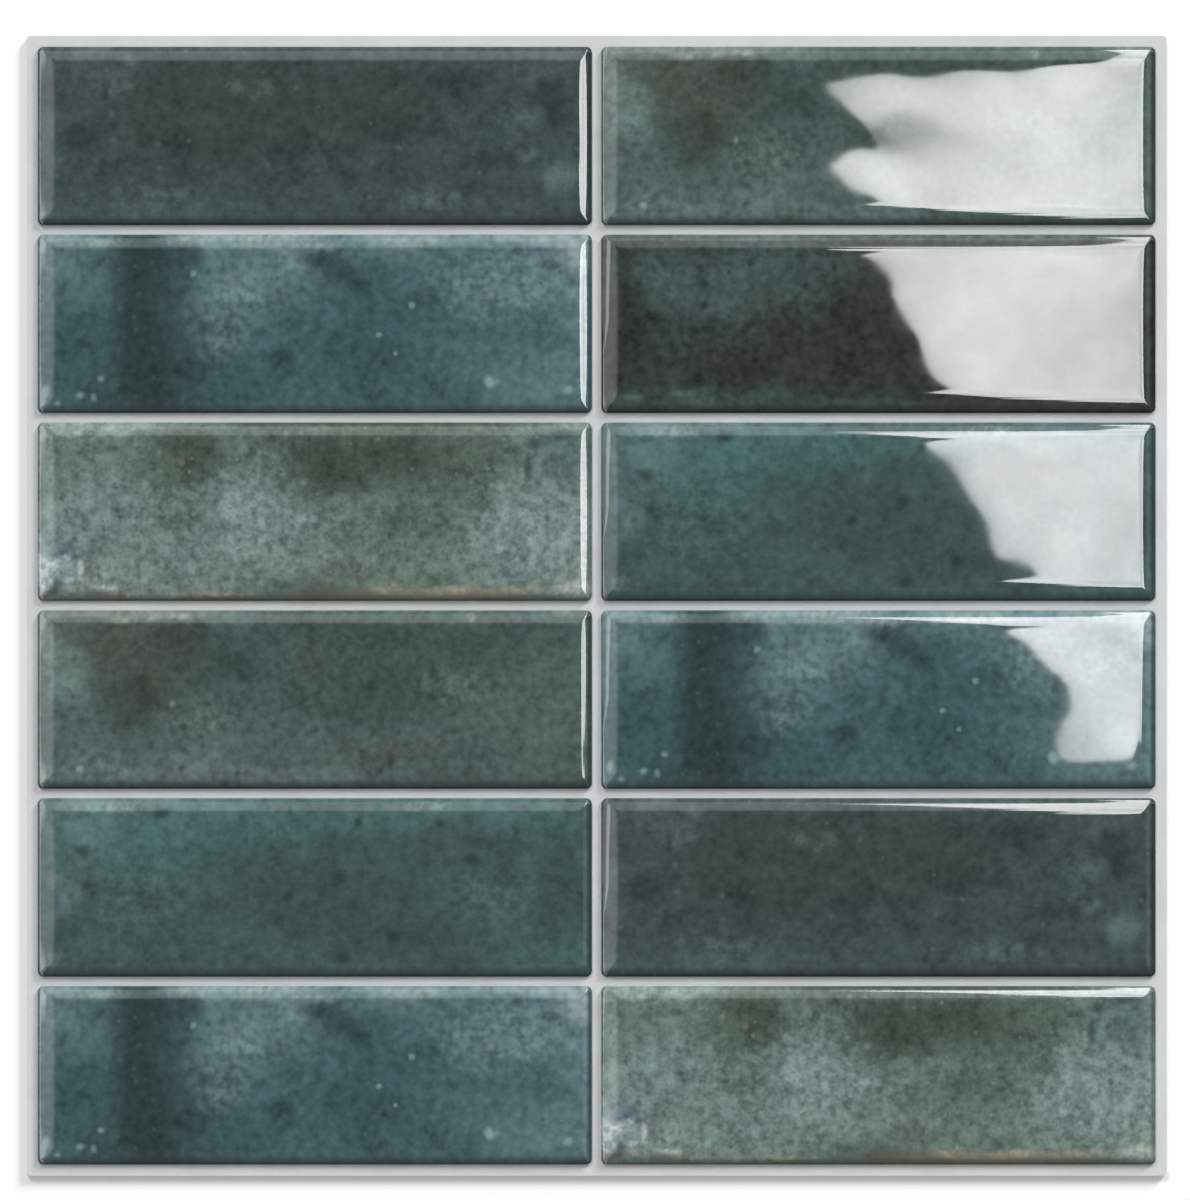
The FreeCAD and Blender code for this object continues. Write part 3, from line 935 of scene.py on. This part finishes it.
# A veil's centre, half width, half height and strength.
VEILS = [
    (76, 126, 10, 5, 0.8), (88, 124, 14, 6, 0.4), (64, 137, 8, 4, 0.35), (127, -37, 10, 6, 0.35),
    (136, -16, 24, 24, 0.22), (112, 118, 10, 14, 0.1), (118, 66, 12, 8, 0.1), (175, 60, 30, 180, 0.3),
]
VEIL_SHARPNESS = 1.5
RIM_GLOW = 0.7
RIM_FADE = 2.5
PANE_EDGE = (-0.5, 0.5)
UNEVENNESS = ((0.045, 0.7), (0.012, 0.35))
CURVE_SAMPLES = 4
WINDOW_STEP = 2
WINDOW_MARGIN = 3


def smooth_outline(points, samples):
    """A closed curve through the points, by Catmull-Rom cubics."""
    here = np.array(points, float)[:, None]
    before, after, beyond = (np.roll(here, shift, axis=0) for shift in (1, -1, -2))
    t = np.linspace(0, 1, samples, endpoint=False)[None, :, None]
    curve = here + 0.5 * t * (after - before + t * (2 * before - 5 * here + 4 * after - beyond
                                                    + t * (3 * (here - after) + beyond - before)))
    return curve.reshape(-1, 2)


def depth_inside(places, outline):
    """How deep inside the outline each place lies: the distance to the nearest side, negative outside.

    A place is inside when a ray from it towards +X crosses the outline an odd number of times.
    """
    start, run = outline, np.roll(outline, -1, axis=0) - outline
    offset = places[:, None] - start
    share = np.clip((offset * run).sum(-1) / (run ** 2).sum(-1), 0, 1)
    distance = np.linalg.norm(offset - share[..., None] * run, axis=-1).min(axis=1)
    above = offset[..., 1] < 0
    beside = above != np.roll(above, -1, axis=1)
    rise = np.where(run[:, 1] == 0, 1, run[:, 1])
    crossed = beside & (offset[..., 0] < run[:, 0] * offset[..., 1] / rise)
    return np.where(crossed.sum(axis=1) % 2, distance, -distance)


def window_mesh():
    """A grid at the window's height that holds, at each point, its depth inside the outline and its glow.

    Each point is moved outwards from the camera's place, so that its reflection falls where it should.
    The glow is dimmer near the outline and under each veil, which is a soft ellipse.
    """
    outline = smooth_outline(WINDOW_OUTLINE, CURVE_SAMPLES)
    low, high = outline.min(axis=0) - WINDOW_MARGIN, outline.max(axis=0) + WINDOW_MARGIN
    across, up = (np.arange(low[axis], high[axis], WINDOW_STEP) for axis in (0, 1))
    x, y = np.meshgrid(across, up, indexing="ij")
    places = np.column_stack((x.ravel(), y.ravel()))
    depth = depth_inside(places, outline)
    glow = 1 - (1 - RIM_GLOW) * np.exp(-np.maximum(depth, 0) / RIM_FADE)
    for veil_x, veil_y, half_width, half_height, strength in VEILS:
        far = np.hypot((places[:, 0] - veil_x) / half_width, (places[:, 1] - veil_y) / half_height)
        glow *= 1 - strength * np.exp(-VEIL_SHARPNESS * far ** 2)
    spread = 1 + WINDOW_HEIGHT / CAMERA_HEIGHT
    points = places * MM * spread - np.array(CAMERA_PLACE) * (spread - 1)
    points = np.column_stack((points, np.full(len(points), WINDOW_HEIGHT)))
    mesh = bpy.data.meshes.new("window")
    mesh.from_pydata(points, [], grid_faces(np.arange(len(points)).reshape(x.shape)))
    for name, values in (("depth", depth), ("glow", glow)):
        mesh.attributes.new(name, "FLOAT", "POINT").data.foreach_set("value", values)
    return mesh


def window_glow():
    """Uneven emission, like a pale sky through old glass, and nothing at all outside the outline."""
    material = bpy.data.materials.new("window glow")
    material.use_nodes = True
    material.cycles.emission_sampling = "NONE"
    tree = material.node_tree
    tree.nodes.clear()
    place = put(tree, "ShaderNodeTexCoord").outputs["Object"]
    depth = put(tree, "ShaderNodeAttribute", attribute_name="depth").outputs["Fac"]
    glow = put(tree, "ShaderNodeAttribute", attribute_name="glow").outputs["Fac"]
    level = 1.0
    for size, share in UNEVENNESS:
        noise = put(tree, "ShaderNodeTexNoise", {"Vector": place, "Scale": 1 / size, "Detail": 1})
        change = maths(tree, "SUBTRACT", noise.outputs["Fac"], 0.5)
        level = maths(tree, "MULTIPLY_ADD", change, share, level)
    level = maths(tree, "MULTIPLY", level, maths(tree, "MULTIPLY", glow, WINDOW_LEVEL))
    lit = put(tree, "ShaderNodeEmission", {"Color": (1, 1, 1, 1), "Strength": level})
    clear = put(tree, "ShaderNodeBsdfTransparent")
    inside = ease(tree, depth, *PANE_EDGE)
    pane = put(tree, "ShaderNodeMixShader", {0: inside, 1: clear.outputs[0], 2: lit.outputs[0]})
    put(tree, "ShaderNodeOutputMaterial", {"Surface": pane.outputs[0]})
    return material


window = add_object("window", window_mesh(), window_glow())
for kind in ("camera", "diffuse", "transmission", "volume_scatter", "shadow"):
    setattr(window, "visible_" + kind, False)

# Camera
# It looks straight down from far off, so the sheet is as square as it is in the photograph. The
# view spans a little more than the sheet.
SENSOR = 36.0
VIEW_SPAN = 320.84 * MM
view = bpy.data.cameras.new("camera")
view.sensor_width = SENSOR
view.lens = SENSOR * CAMERA_HEIGHT / VIEW_SPAN
view.clip_start = 0.05
view.clip_end = 300
camera = add_object("camera", view)
camera.location = (*CAMERA_PLACE, CAMERA_HEIGHT)
bpy.context.scene.camera = camera
bpy.context.scene.view_settings.view_transform = "Standard"
